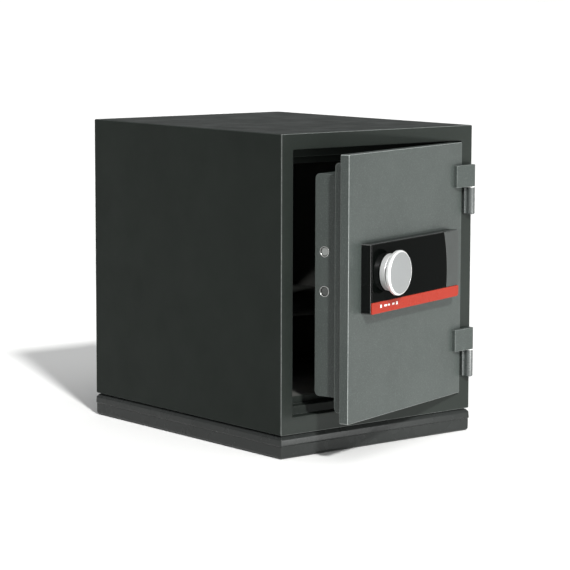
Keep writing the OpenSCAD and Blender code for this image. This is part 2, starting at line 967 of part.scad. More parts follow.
plinth();
plinth_bolts();
outer_casing();
back_panel();
front_frame();
body_insulation();
inner_liner();
liner_back();
shelf();
shelf_supports();
anchor_sleeves();
strike_plate();
hinge_barrel(upper_hinge_top);  // upper_hinge_barrel
hinge_barrel(lower_hinge_top);  // lower_hinge_barrel
hinge_pin(upper_hinge_top);  // upper_hinge_pin
hinge_pin(lower_hinge_top);  // lower_hinge_pin
hinge_washers();
door_plate();
door_step();
door_liner();
door_insulation();
fire_seal();
hinge_block(upper_hinge_top);  // upper_hinge_block
hinge_block(lower_hinge_top);  // lower_hinge_block
lock_housing();
keypad_face();
accent_strip();
battery_cover();
battery();
battery_clip();
circuit_board();
housing_screws();
spindle_bush();
knob();
knob_screw();
spindle();
crank();
lock_case();
bolt_bushes();
locking_bolts();
bolt_carrier();
guide_screws();
solenoid();
solenoid_pin();
lock_cable();
lock_cover();
cover_screws();
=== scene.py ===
"""Looks of the fire-resistant cabinet safe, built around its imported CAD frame.

Pieces of the cabinet are made where they stand. Pieces that swing with the door are
made as if the door were shut, in the same axes, and are then turned by the angle at
which the door rests. Y runs to the rear, so the door's front face looks along -Y.
"""

import json
import math

import bmesh
import bpy
from mathutils import Matrix, Vector

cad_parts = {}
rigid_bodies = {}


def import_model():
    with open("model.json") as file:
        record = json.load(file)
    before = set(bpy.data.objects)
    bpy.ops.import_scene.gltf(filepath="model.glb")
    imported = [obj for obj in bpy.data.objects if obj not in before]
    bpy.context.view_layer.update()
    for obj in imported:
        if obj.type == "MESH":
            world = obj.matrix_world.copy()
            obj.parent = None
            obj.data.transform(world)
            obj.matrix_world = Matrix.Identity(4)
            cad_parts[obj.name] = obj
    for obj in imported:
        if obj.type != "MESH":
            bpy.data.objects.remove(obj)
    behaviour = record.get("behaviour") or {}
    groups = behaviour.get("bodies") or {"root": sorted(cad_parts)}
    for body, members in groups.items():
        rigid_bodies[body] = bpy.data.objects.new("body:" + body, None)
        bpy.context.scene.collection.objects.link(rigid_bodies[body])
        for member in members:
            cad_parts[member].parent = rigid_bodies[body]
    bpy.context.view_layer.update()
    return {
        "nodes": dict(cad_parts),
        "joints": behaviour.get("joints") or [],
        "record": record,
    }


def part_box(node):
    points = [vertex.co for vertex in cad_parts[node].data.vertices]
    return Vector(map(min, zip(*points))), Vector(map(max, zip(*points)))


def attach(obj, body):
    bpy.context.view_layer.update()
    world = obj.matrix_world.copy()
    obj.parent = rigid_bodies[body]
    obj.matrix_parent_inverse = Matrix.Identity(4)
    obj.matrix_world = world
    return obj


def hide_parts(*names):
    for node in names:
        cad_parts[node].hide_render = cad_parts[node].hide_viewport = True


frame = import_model()

MM = 0.001


# ---------------------------------------------------------------- places

def door_swing():
    """The turn from the shut door to the door at rest, and the hinge axis."""
    joint = next(j for j in frame["joints"] if j["name"] == "door_hinge")
    axis = Vector(joint["pos_m"])
    ajar = -math.radians(joint["range_deg"][0])
    turn = Matrix.Translation(axis) @ Matrix.Rotation(ajar, 4, "Z") @ Matrix.Translation(-axis)
    return turn, axis


SWING, HINGE = door_swing()


def extent(points):
    """Lowest and highest corners of the box around some points."""
    low = Vector([min(p[k] for p in points) for k in range(3)])
    high = Vector([max(p[k] for p in points) for k in range(3)])
    return low, high


def shut_box(node):
    """Lowest and highest corners of a door node, with the door shut."""
    back = SWING.inverted()
    return extent([back @ v.co for v in frame["nodes"][node].data.vertices])


def front_rect(box, grow=0.0):
    """The outline of a box seen from the front: x0, x1, z0, z1."""
    low, high = box
    return low.x - grow, high.x + grow, low.z - grow, high.z + grow


def slot_of(node):
    """The record's material slot of a CAD node."""
    return next(s["material_slot"] for s in frame["record"]["subparts"] if s["node"] == node)


# ---------------------------------------------------------------- outlines

def rounded_path(points, closed=False, steps=4):
    """A polyline through (u, v, radius) points, with each corner rounded."""
    flat = [Vector(p[:2]) for p in points]
    count = len(flat)
    path = []
    for i, p in enumerate(flat):
        radius = points[i][2] if len(points[i]) > 2 else 0.0
        at_end = not closed and i in (0, count - 1)
        if at_end or radius <= 0:
            path.append(tuple(p))
            continue
        before = (flat[i - 1] - p).normalized()
        after = (flat[(i + 1) % count] - p).normalized()
        half = before.angle(after) / 2
        centre = p + (before + after).normalized() * radius / math.sin(half)
        start = p + before * radius / math.tan(half) - centre
        end = p + after * radius / math.tan(half) - centre
        sweep = start.angle_signed(end)
        for k in range(steps + 1):
            turned = start.copy()
            turned.rotate(Matrix.Rotation(-sweep * k / steps, 2))
            path.append(tuple(centre + turned))
    return path


def rect_ring(rect, inset, radius, steps):
    """A rounded rectangle, `inset` inside rect, as (u, v) points."""
    u0, u1, v0, v1 = rect[0] + inset, rect[1] - inset, rect[2] + inset, rect[3] - inset
    r = max(radius - inset, 0.2 * MM)
    corners = [(u1, v0, r), (u1, v1, r), (u0, v1, r), (u0, v0, r)]
    return rounded_path(corners, closed=True, steps=steps)


def hexagon_radius(angle, across):
    """Radius of a hexagon's outline at an angle, for its size across flats."""
    sixth = math.pi / 3
    return across / 2 / math.cos((angle + sixth / 2) % sixth - sixth / 2)


# ---------------------------------------------------------------- meshes

def skin(rings, closed=False):
    """A mesh through rings of points, each ring with the same number of points. It is capped
    at both ends, unless it is closed from the last ring to the first."""
    bm = bmesh.new()
    rows = [[bm.verts.new(p) for p in ring] for ring in rings]
    pairs = list(zip(rows, rows[1:]))
    if closed:
        pairs.append((rows[-1], rows[0]))
    for a, b in pairs:
        for i in range(len(a)):
            j = (i + 1) % len(a)
            bm.faces.new((a[i], a[j], b[j], b[i]))
    if not closed:
        bm.faces.new(rows[0])
        bm.faces.new(rows[-1])
    bmesh.ops.recalc_face_normals(bm, faces=bm.faces)
    return bm


def stack_y(rows):
    """Rings of rounded rectangles along Y, from rows of (rect, inset, radius, y)."""
    return [
        [(u, y, v) for u, v in rect_ring(rect, inset, radius, steps=5)]
        for rect, inset, radius, y in rows
    ]


def stack_z(rows):
    """Rings of rounded rectangles along Z, from rows of (rect, inset, radius, z)."""
    return [
        [(u, v, z) for u, v in rect_ring(rect, inset, radius, steps=6)]
        for rect, inset, radius, z in rows
    ]


def rows_on(rect, radius, path):
    """Rows for stack_y or stack_z, from one rect and a path of (inset, depth)."""
    return [(rect, inset, radius, depth) for inset, depth in path]


def axis_frame(origin, direction):
    """The origin as a vector, the direction, and two more unit vectors square to it."""
    along = Vector(direction).normalized()
    across = along.orthogonal().normalized()
    return Vector(origin), along, across, along.cross(across)


def lathe_rings(origin, direction, profile, sides=48):
    """Rings of points around an axis, one for each (distance along, radius) of the profile.
    A radius may be a function of the angle."""
    start, along, across, third = axis_frame(origin, direction)
    rings = []
    for distance, radius in profile:
        ring = []
        for i in range(sides):
            a = 2 * math.pi * i / sides
            spoke = across * math.cos(a) + third * math.sin(a)
            reach = radius(a) if callable(radius) else radius
            ring.append(start + along * distance + spoke * reach)
        rings.append(ring)
    return rings


def lathe(origin, direction, profile, sides=64, socket=None):
    """A turned piece with closed ends: profile points are (distance along, radius).
    socket = (size across flats, depth) sinks a hexagon socket in the far end."""
    if socket:
        across_flats, depth = socket
        top = profile[-1][0]
        for d in (top, top - depth):
            profile = profile + [(d, lambda a: hexagon_radius(a, across_flats))]
    return skin(lathe_rings(origin, direction, profile, sides))


def turned_tube(origin, direction, profile):
    """A turned piece whose profile is a closed outline, so that it has a bore."""
    return skin(lathe_rings(origin, direction, profile), closed=True)


def extrude(outline, place, low, high):
    """A closed outline of (u, v) points drawn out from low to high by place(u, v, w)."""
    return skin([[place(u, v, w) for u, v in outline] for w in (low, high)])


def front_place(u, v, w):
    """For an outline seen from the front, drawn out along Y."""
    return u, w, v


def top_place(u, v, w):
    """For an outline seen from above, drawn out along Z."""
    return u, v, w


def side_place(u, v, w):
    """For an outline seen from the side, drawn out along X."""
    return w, u, v


def merge(*parts):
    """One mesh holding several separate closed shells."""
    whole = bmesh.new()
    for part in parts:
        mesh = bpy.data.meshes.new("part")
        part.to_mesh(mesh)
        part.free()
        whole.from_mesh(mesh)
        bpy.data.meshes.remove(mesh)
    return whole


def rounded_box(low, high, radius, edge, steps=3):
    """A box with corners of `radius` seen from the front, and every edge rounded."""
    rect = (low.x, high.x, low.z, high.z)
    path = rounded_path(
        [(edge * 2, low.y), (0, low.y, edge), (0, high.y, edge), (edge * 2, high.y)], steps=steps
    )
    return skin(stack_y(rows_on(rect, radius, path)))


def applied(obj):
    """Bakes an object's modifiers into its mesh."""
    graph = bpy.context.evaluated_depsgraph_get()
    mesh = bpy.data.meshes.new_from_object(obj.evaluated_get(graph), depsgraph=graph)
    obj.modifiers.clear()
    obj.data = mesh


def anywhere(_point):
    """For pieces whose outer edges are all worn and lightened with a painted highlight."""
    return True


def mark_outer_edges(mesh, where):
    """Stores on each face how much it rounds an outer edge, for the edge wear and painted edge
    highlight of its finish.
    `where` takes a face's centre and says if that place may be worn and painted lighter as a
    highlight."""
    low, high = extent([v.co for v in mesh.vertices])
    middle = (low + high) / 2
    values = []
    for face in mesh.polygons:
        out = face.center - middle
        faces_out = face.normal.x * out.x + face.normal.z * out.z > 0
        marked = faces_out and where(face.center)
        values.append(1 - max(abs(c) for c in face.normal) if marked else 0.0)
    mesh.attributes.new("outer_edge", "FLOAT", "FACE").data.foreach_set("value", values)


def piece(name, bm, body, slot_name, replaces=(), bevel=0.0, cutters=(), wear_and_sheen=None, look=None):
    """Makes the mesh a named object that rides on a body and carries its slot's finish.

    `cutters` are meshes cut out of it, and `bevel` rounds its sharp edges. Its edge-wear argument
    says where its outer edges may be worn and lightened with a painted highlight. `look` names
    another finish for a piece that differs from the rest of its slot.
    """
    mesh = bpy.data.meshes.new(name)
    bm.to_mesh(mesh)
    bm.free()
    obj = bpy.data.objects.new(name, mesh)
    bpy.context.scene.collection.objects.link(obj)
    for cutter in cutters:
        cut = obj.modifiers.new("cut", "BOOLEAN")
        cut.operation = "DIFFERENCE"
        cut.solver = "EXACT"
        cut.object = cutter_object(cutter)
    if bevel:
        rounding = obj.modifiers.new("rounding", "BEVEL")
        rounding.width = bevel
        rounding.segments = 3
        rounding.limit_method = "ANGLE"
        rounding.angle_limit = math.radians(35)
        rounding.miter_outer = "MITER_ARC"
    applied(obj)
    for tool in [o for o in bpy.data.objects if o.name.startswith("cutter")]:
        bpy.data.objects.remove(tool)
    obj.data.polygons.foreach_set("use_smooth", [True] * len(obj.data.polygons))
    obj.data.set_sharp_from_angle(angle=math.radians(38))
    weights = obj.modifiers.new("weights", "WEIGHTED_NORMAL")
    weights.keep_sharp = True
    weights.weight = 100
    applied(obj)
    obj.data.name = name
    if wear_and_sheen:
        mark_outer_edges(obj.data, wear_and_sheen)
    if body != "cabinet":
        obj.data.transform(SWING)
    obj.data.materials.clear()
    obj.data.materials.append(FINISH[look or slot_name])
    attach(obj, body)
    if replaces:
        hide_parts(*replaces)


def cutter_object(bm):
    """An object for a boolean cut, which piece() deletes after the cut."""
    mesh = bpy.data.meshes.new("cutter")
    bm.to_mesh(mesh)
    bm.free()
    obj = bpy.data.objects.new("cutter", mesh)
    bpy.context.scene.collection.objects.link(obj)
    return obj


# ---------------------------------------------------------------- finishes

# How far in from an edge its wear and painted highlight reach.
EDGE_REACH = 0.8 * MM
# The range of a noise texture's values that most of its area falls in.
NOISE_LOW = 0.3
NOISE_HIGH = 0.7


class Nodes:
    """Short ways to add and link shader nodes. What they return is an output socket."""

    def __init__(self, tree):
        self.tree = tree
        tree.nodes.clear()

    def add(self, kind, **settings):
        """Adds a node and returns the node itself."""
        node = self.tree.nodes.new(kind)
        for key, value in settings.items():
            setattr(node, key, value)
        return node

    def link(self, source, target):
        self.tree.links.new(source, target)

    def noise(self, vector, scale, detail=2.0, rough=0.5):
        """Noise over a place, from about NOISE_LOW to NOISE_HIGH."""
        node = self.add("ShaderNodeTexNoise")
        node.inputs["Scale"].default_value = scale
        node.inputs["Detail"].default_value = detail
        node.inputs["Roughness"].default_value = rough
        self.link(vector, node.inputs["Vector"])
        return node.outputs["Fac"]

    def spread(self, value, low, high, new_low, new_high):
        """Maps the range low to high onto new_low to new_high, and holds it there."""
        node = self.add("ShaderNodeMapRange", clamp=True)
        for name, number in zip(("From Min", "From Max", "To Min", "To Max"),
                                (low, high, new_low, new_high)):
            node.inputs[name].default_value = number
        self.link(value, node.inputs["Value"])
        return node.outputs["Result"]

    def maths(self, operation, a, b):
        """One operation on two sockets."""
        node = self.add("ShaderNodeMath", operation=operation)
        self.link(a, node.inputs[0])
        self.link(b, node.inputs[1])
        return node.outputs[0]

    def mix(self, factor, a, b):
        """Blends two colours; each is a linked socket or a plain (r, g, b)."""
        node = self.add("ShaderNodeMix", data_type="RGBA")
        self.link(factor, node.inputs[0])
        for slot, value in ((node.inputs[6], a), (node.inputs[7], b)):
            if isinstance(value, tuple):
                slot.default_value = (*value, 1.0)
            else:
                self.link(value, slot)
        return node.outputs[2]

    def edges(self, amount):
        """A mask that is 0 on flats and rises to `amount` along edges."""
        bevel = self.add("ShaderNodeBevel", samples=6)
        bevel.inputs["Radius"].default_value = EDGE_REACH
        normal = self.add("ShaderNodeNewGeometry").outputs["True Normal"]
        dot = self.add("ShaderNodeVectorMath", operation="DOT_PRODUCT")
        self.link(bevel.outputs[0], dot.inputs[0])
        self.link(normal, dot.inputs[1])
        return self.spread(dot.outputs["Value"], 0.995, 0.90, 0.0, amount)


def scaled(colour, factor, lift=0.0):
    """A colour times a factor, plus a little grey."""
    return tuple(min(1.0, c * factor + lift) for c in colour)


def finish(name, colour, roughness, metallic=0.0, specular=0.5, ior=1.5, cloud=0.08, fleck=0.0,
           fleck_scale=1500.0, fleck_tone=1.6, grain=0.0, grain_scale=900.0, uneven=0.06,
           wear_and_sheen_colour=None, edge=0.35):
    """A procedural finish: clouded colour, flecks, worn edges that also carry a painted highlight,
    uneven gloss and fine grain.

    `cloud`, `fleck`, `uneven` and `edge` say how strong each effect is; `edge` covers both the wear
    and the painted highlight of edges, which share one edge colour. `grain` is the height of the
    fine relief.
    """
    mat = bpy.data.materials.new(name)
    mat.use_nodes = True
    n = Nodes(mat.node_tree)
    out = n.add("ShaderNodeOutputMaterial")
    shader = n.add("ShaderNodeBsdfPrincipled")
    n.link(shader.outputs[0], out.inputs["Surface"])
    place = n.add("ShaderNodeTexCoord").outputs["Object"]
    clouds = n.noise(place, 9.0, detail=4.0)
    dark = scaled(colour, 1 - cloud)
    light = scaled(colour, 1 + cloud)
    tone = n.mix(n.spread(clouds, NOISE_LOW, NOISE_HIGH, 0.0, 1.0), dark, light)
    if fleck:
        specks = n.noise(place, fleck_scale, detail=1.0)
        bright = scaled(colour, fleck_tone)
        tone = n.mix(n.spread(specks, 0.52, 0.72, 0.0, fleck), tone, bright)
    # Edges are lightened partly as wear and partly as a painted highlight, where rounded edges would
    # catch the light.
    outer = n.add("ShaderNodeAttribute", attribute_name="outer_edge").outputs["Fac"]
    rubbed_and_sheen = n.maths("MAXIMUM", n.edges(edge), n.spread(outer, 0.02, 0.20, 0.0, edge))
    patchy = n.spread(n.noise(place, 260.0), 0.35, 0.6, 0.7, 1.0)
    wear_and_sheen = n.maths("MULTIPLY", rubbed_and_sheen, patchy)
    tone = n.mix(wear_and_sheen, tone, wear_and_sheen_colour or scaled(colour, 1.4, 0.01))
    n.link(tone, shader.inputs["Base Color"])

    smears = n.noise(place, 22.0, detail=5.0, rough=0.6)
    sleek = max(0.03, roughness - uneven)
    rough = n.spread(smears, NOISE_LOW, NOISE_HIGH, sleek, roughness + uneven)
    n.link(rough, shader.inputs["Roughness"])
    shader.inputs["Metallic"].default_value = metallic
    shader.inputs["IOR"].default_value = ior
    shader.inputs["Specular IOR Level"].default_value = specular
    if grain:
        bump = n.add("ShaderNodeBump")
        bump.inputs["Strength"].default_value = 1.0
        bump.inputs["Distance"].default_value = grain
        n.link(n.noise(place, grain_scale, detail=2.0), bump.inputs["Height"])
        n.link(bump.outputs[0], shader.inputs["Normal"])
    return mat


# Edge colours far above a finish's own colour, as on the frame, door, housing, face, strip, shelf
# and knob, are mostly painted highlight along edges; the rest is wear.
FINISH = {
    # The shell's paint is the frame's paint darkened, as painted shade on the cabinet's sides, top
    # and back.
    "casing_paint": finish("casing_paint", (0.0088, 0.0118, 0.0096), 0.45, specular=0.08,
                           fleck=0.5, fleck_scale=600.0, fleck_tone=1.3, grain=0.012 * MM,
                           wear_and_sheen_colour=(0.035, 0.040, 0.037), edge=0.8),
    "frame_paint": finish("frame_paint", (0.0155, 0.0190, 0.0165), 0.42, specular=0.13,
                          fleck=0.5, fleck_scale=600.0, fleck_tone=1.3, grain=0.012 * MM,
                          wear_and_sheen_colour=(0.150, 0.160, 0.153), edge=0.95),
    "door_paint": finish("door_paint", (0.038, 0.0455, 0.042), 0.36, specular=0.3,
                         fleck=0.8, fleck_scale=600.0, fleck_tone=1.8, grain=0.014 * MM,
                         wear_and_sheen_colour=(0.27, 0.29, 0.28), edge=0.9),
    "cover_paint": finish("cover_paint", (0.026, 0.030, 0.028), 0.34, specular=0.4,
                          fleck=0.5, fleck_scale=600.0, wear_and_sheen_colour=(0.16, 0.17, 0.165)),
    "plinth_plastic": finish("plinth_plastic", (0.021, 0.023, 0.022), 0.26, metallic=0.15,
                             specular=0.2, fleck=0.2, grain=0.01 * MM, grain_scale=300.0,
                             uneven=0.1, wear_and_sheen_colour=(0.09, 0.095, 0.09), edge=0.5),
    # The knuckles' paint is the frame's paint made glossier and lighter; the lighter colour is a
    # painted sheen.
    "hinge_paint_sheen": finish("hinge_paint_sheen", (0.042, 0.048, 0.046), 0.28, specular=0.9,
                          fleck=0.8, fleck_scale=900.0, fleck_tone=2.0, grain=0.03 * MM),
    "liner_paint": finish("liner_paint", (0.09, 0.0915, 0.085), 0.50, specular=0.2,
                          fleck=0.4, grain=0.012 * MM),
    # The shelf's look: the liner's paint darkened as painted shade, with a light edge colour as
    # painted highlight.
    "shelf_paint_shaded": finish("shelf_paint_shaded", (0.022, 0.023, 0.021), 0.50, specular=0.1,
                          fleck=0.4, grain=0.012 * MM, wear_and_sheen_colour=(0.12, 0.12, 0.11),
                          edge=0.9),
    "fill": finish("fill", (0.46, 0.44, 0.39), 0.9, cloud=0.2, grain=0.3 * MM, grain_scale=300.0,
                   edge=0.1),
    "plain_steel": finish("plain_steel", (0.32, 0.32, 0.31), 0.38, metallic=1.0, fleck=0.4,
                          uneven=0.1, edge=0.5),
    "bright_steel": finish("bright_steel", (0.42, 0.42, 0.41), 0.26, metallic=1.0,
                           uneven=0.08, edge=0.4),
    "grey_steel": finish("grey_steel", (0.32, 0.33, 0.32), 0.45, metallic=1.0, uneven=0.1),
    # A darkened copy of the bolts' steel: painted shade on the lower bolt.
    "steel_painted_shade": finish("steel_painted_shade", (0.11, 0.114, 0.11), 0.42, metallic=1.0, uneven=0.1),
    "washer": finish("washer", (0.80, 0.80, 0.78), 0.35, edge=0.2),
    # The knob's near-white edge colour is a painted highlight on its rims; the darker satin cap
    # below is painted shade on its face.
    "knob_metal": finish("knob_metal", (0.80, 0.81, 0.80), 0.34, metallic=0.55, cloud=0.04,
                         fleck=0.35, fleck_scale=900.0, fleck_tone=1.10, grain=0.003 * MM,
                         uneven=0.03, wear_and_sheen_colour=(0.9, 0.9, 0.9), edge=0.7),
    "knob_satin_shaded": finish("knob_satin_shaded", (0.30, 0.31, 0.31), 0.38, metallic=0.7, cloud=0.04,
                         fleck=0.35, fleck_scale=900.0, fleck_tone=1.10, grain=0.003 * MM,
                         uneven=0.03, edge=0.2),
    "housing_plastic": finish("housing_plastic", (0.0045, 0.005, 0.0048), 0.10, specular=0.16,
                              uneven=0.03, grain=0.002 * MM, wear_and_sheen_colour=(0.10, 0.103, 0.10),
                              edge=0.8),
    "keypad_gloss": finish("keypad_gloss", (0.0012, 0.0016, 0.0014), 0.07, ior=1.07,
                           uneven=0.02, wear_and_sheen_colour=(0.10, 0.10, 0.10), edge=0.7),
    "strip_red": finish("strip_red", (0.26, 0.022, 0.011), 0.30, specular=0.1, cloud=0.04,
                        wear_and_sheen_colour=(0.60, 0.10, 0.07), edge=0.6),
    "seal": finish("seal", (0.03, 0.03, 0.03), 0.8, grain=0.05 * MM, edge=0.1),
    "board": finish("board", (0.02, 0.10, 0.05), 0.4, edge=0.2),
    "battery_case": finish("battery_case", (0.05, 0.05, 0.055), 0.35, metallic=0.3),
    "brass": finish("brass", (0.60, 0.42, 0.16), 0.30, metallic=1.0, uneven=0.08),
    "black_rubber": finish("black_rubber", (0.014, 0.014, 0.014), 0.6, edge=0.15),
    "mark_white": finish("mark_white", (0.60, 0.60, 0.58), 0.4, edge=0.0),
}

for node_name, cad_object in frame["nodes"].items():
    cad_object.data.materials.clear()
    cad_object.data.materials.append(FINISH[slot_of(node_name)])


# ---------------------------------------------------------------- cabinet

sheet = 2 * MM
casing_radius = 2.2 * MM
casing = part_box("outer_casing")
body_rect = front_rect(casing)
face_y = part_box("front_frame")[0].y
rear_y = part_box("back_panel")[1].y

# The opening and the jamb's two steps, around the shut door.
door_gap = 2 * MM
plate = shut_box("door_plate")
opening_rect = front_rect(plate, grow=door_gap)
step1_y = plate[1].y + door_gap
step2_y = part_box("front_frame")[1].y - sheet
step_in = 13 * MM


def make_casing():
    """Folded shell: top, floor and sides, as one tube of sheet."""
    y0, y1 = casing[0].y, casing[1].y
    path = rounded_path(
        [(0, y0), (0, y1, 0.6 * MM), (sheet, y1), (sheet, y0)], closed=True, steps=3
    )
    rings = stack_y(rows_on(body_rect, casing_radius, path))
    # Its outer edges are lightened, partly as wear and partly as a painted highlight.
    piece("outer_casing_shell", skin(rings, closed=True), "cabinet", "casing_paint",
          ["outer_casing"], wear_and_sheen=anywhere)


def make_back():
    """Rear sheet, with a rounded rim that leaves a fine seam against the shell."""
    y0, y1 = rear_y - sheet, rear_y
    rim = 4 * MM
    path = rounded_path([(rim, y0), (0, y0, 0.5 * MM), (0, y1, 1.2 * MM), (rim, y1)])
    piece("back_sheet", skin(stack_y(rows_on(body_rect, casing_radius, path))), "cabinet",
          "casing_paint", ["back_panel"])


def make_front_frame():
    """Front ring and the two steps of the jamb, folded from one sheet."""
    face_lap = 6 * MM
    step2_in = step_in + 12 * MM
    outer = rounded_path([(0, casing[0].y), (0, face_y, 1.4 * MM), (face_lap, face_y)])
    steps = rounded_path([
        (-face_lap, face_y),
        (0, face_y, 1.5 * MM),
        (0, step1_y, 0.8 * MM),
        (step_in, step1_y, 1.2 * MM),
        (step_in, step2_y, 0.8 * MM),
        (step2_in, step2_y, 1.2 * MM),
        (step2_in, step2_y + sheet),
        (step_in - sheet, step2_y + sheet),
        (step_in - sheet, step1_y + sheet),
        (-sheet, step1_y + sheet),
        (-sheet, face_y + sheet),
    ])
    rows = rows_on(body_rect, casing_radius, outer) + rows_on(opening_rect, 2 * MM, steps)
    # Its front edges are lightened with a painted highlight as well as wear.
    piece("front_frame_ring", skin(stack_y(rows), closed=True), "cabinet", "frame_paint",
          ["front_frame"], wear_and_sheen=anywhere)


def make_plinth():
    """Moulded plinth: a rounded lip over a plain band, with ribs and bosses underneath."""
    low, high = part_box("plinth")
    rect = (low.x, high.x, low.y, high.y)
    plan_radius = 2.5 * MM
    band_in = 1.7 * MM
    seat_in = 7 * MM
    wall = 16 * MM
    deck_in = 30 * MM
    deck_z = low.z + 26 * MM
    seat_z = high.z - 1.5 * MM
    lip_z = low.z + 20.5 * MM
    outside = rounded_path([
        (wall, low.z),
        (band_in, low.z, 5.5 * MM),
        (band_in, lip_z, 0.5 * MM),
        (0, lip_z + 0.5 * MM, 2.2 * MM),
        (1.0 * MM, seat_z - 5 * MM, 5 * MM),
        (5.2 * MM, seat_z, 1.5 * MM),
        (seat_in, seat_z, 0.4 * MM),
        (seat_in, high.z),
        (deck_in, high.z),
    ], steps=5)
    inside = [(deck_in, deck_z), (wall, deck_z)]
    shell = skin(stack_z(rows_on(rect, plan_radius, outside + inside)), closed=True)
    overlap = 1 * MM
    deck_path = [(deck_in - overlap, deck_z), (deck_in - overlap, high.z)]
    deck = skin(stack_z(rows_on(rect, plan_radius, deck_path)))
    ribs = plinth_ribs(low, high, deck_z + overlap)
    bosses = plinth_bosses(deck_z + overlap)
    piece("plinth_moulding", merge(shell, deck, *ribs, *bosses), "cabinet", "plinth_plastic",
          ["plinth"])


def plinth_ribs(low, high, top):
    """A cross of two ribs under the plinth's deck."""
    half = 5 * MM
    end = 15 * MM
    spans = [
        (Vector((-half, low.y + end, 0)), Vector((half, high.y - end, top))),
        (Vector((low.x + end, -half, 0)), Vector((high.x - end, half, top))),
    ]
    return [rounded_box(start, stop, 0.5 * MM, 0.4 * MM) for start, stop in spans]


def plinth_bosses(top):
    """Bored bosses around the plinth's bolts and the anchor sleeves."""
    head_half_w = 7.5 * MM
    head_half_d = 6.5 * MM
    sleeve_r = 10 * MM
    radius = 16 * MM
    bolt_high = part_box("plinth_bolts")[1]
    sleeve_low, sleeve_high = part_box("anchor_sleeves")
    bolt_x = bolt_high.x - head_half_w
    bolt_y = bolt_high.y - head_half_d
    sleeve_x = sleeve_high.x - sleeve_r
    sleeve_y = (sleeve_low.y + sleeve_high.y) / 2
    wells = [(x, y, 9 * MM) for x in (-bolt_x, bolt_x) for y in (-bolt_y, bolt_y)]
    wells += [(x, sleeve_y, sleeve_r) for x in (-sleeve_x, sleeve_x)]
    bosses = []
    for x, y, bore in wells:
        profile = [(0, bore), (0, radius - 0.6 * MM), (0.6 * MM, radius), (top, radius), (top, bore)]
        bosses.append(turned_tube((x, y, 0), (0, 0, 1), profile))
    return bosses


def make_shelf():
    """Folded tray: a lip turned down at the front and the back. Its paint is the liner's paint
    darkened as painted shade, with a painted highlight on its edges.
    """
    low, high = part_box("shelf")
    t = 1.5 * MM
    bend = 2.6 * MM
    outline = rounded_path([
        (low.y, low.z),
        (low.y, high.z, bend),
        (high.y, high.z, bend),
        (high.y, low.z),
        (high.y - t, low.z),
        (high.y - t, high.z - t, bend - t),
        (low.y + t, high.z - t, bend - t),
        (low.y + t, low.z),
    ], closed=True, steps=5)
    piece("shelf_tray", extrude(outline, side_place, low.x, high.x), "cabinet", "liner_paint",
          ["shelf"], bevel=0.25 * MM, look="shelf_paint_shaded")


make_casing()
make_back()
make_front_frame()
make_plinth()
make_shelf()


# ---------------------------------------------------------------- hinges

def make_barrel(node, name):
    """Cabinet half of a hinge: a barrel, chamfered below, with its leaf. It wears the frame's paint
    lightened as a painted sheen.
    """
    low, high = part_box(node)
    radius = high.x - HINGE.x
    height = high.z - low.z
    chamfer = 1.5 * MM
    barrel = lathe((HINGE.x, HINGE.y, low.z), (0, 0, 1), [
        (0, radius - chamfer - 0.2 * MM),
        (0.2 * MM, radius - chamfer + 0.1 * MM),
        (chamfer, radius - 0.1 * MM),
        (chamfer + 0.5 * MM, radius),
        (height - 0.5 * MM, radius),
        (height - 0.1 * MM, radius - 0.3 * MM),
        (height, radius - 0.7 * MM),
    ])
    leaf = rounded_box(Vector((low.x, HINGE.y + 2 * MM, low.z + chamfer)),
                       Vector((HINGE.x, face_y, high.z)), 0.8 * MM, 0.6 * MM)
    piece(name, merge(barrel, leaf), "cabinet", "frame_paint", [node], look="hinge_paint_sheen")


def make_washers():
    """Bright washers on top of both barrels."""
    low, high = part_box("hinge_washers")
    t = 1.5 * MM
    bore = 4.1 * MM
    r = high.x - HINGE.x
    profile = rounded_path([(0, bore), (0, r, 0.4 * MM), (t, r, 0.4 * MM), (t, bore)],
                           closed=True, steps=3)
    rings = [turned_tube((HINGE.x, HINGE.y, z), (0, 0, 1), profile) for z in (low.z, high.z - t)]
    piece("hinge_washer_rings", merge(*rings), "cabinet", "washer", ["hinge_washers"])


def make_hinge_block(node, name):
    """Door half of a hinge: a wedge that runs from the plate to the knuckle over the pin.
    Its front face touches the knuckle's circle, whose arc starts there."""
    low, high = shut_box(node)
    radius = high.x - HINGE.x
    axis = Vector((HINGE.x, HINGE.y))
    thin_end = 5.8 * MM
    corner = Vector((low.x, face_y - thin_end))
    reach = axis - corner
    lean = math.atan2(reach.y, reach.x)
    open_angle = math.asin(radius / reach.length)
    start = lean - open_angle - math.pi / 2
    end = math.pi / 2
    arc = []
    steps = 28
    for k in range(steps + 1):
        a = start + (end - start) * k / steps
        arc.append((axis.x + radius * math.cos(a), axis.y + radius * math.sin(a)))
    back_y = axis.y + radius
    outline = [(low.x, face_y), tuple(corner)] + arc
    outline += [(plate[1].x, back_y), (plate[1].x, face_y)]
    # The wedge's free end is lightened along its edges as a painted highlight, with some wear.
    piece(name, extrude(outline, top_place, low.z, high.z), "door", "door_paint", [node],
          bevel=1.2 * MM, wear_and_sheen=lambda point: point.x < HINGE.x - radius)


make_barrel("upper_hinge_barrel", "upper_hinge_knuckle")
make_barrel("lower_hinge_barrel", "lower_hinge_knuckle")
make_washers()
make_hinge_block("upper_hinge_block", "upper_hinge_wedge")
make_hinge_block("lower_hinge_block", "lower_hinge_wedge")


# ---------------------------------------------------------------- door

step = shut_box("door_step")
box = shut_box("door_liner")
cover = shut_box("lock_cover")
bolt_radius = 7 * MM
bolt_hole = bolt_radius + 1 * MM


def bolt_axes():
    """Places (y, z) of the lower and the upper locking bolt."""
    low, high = shut_box("locking_bolts")
    y = (low.y + high.y) / 2
    return [(y, low.z + bolt_radius), (y, high.z - bolt_radius)]


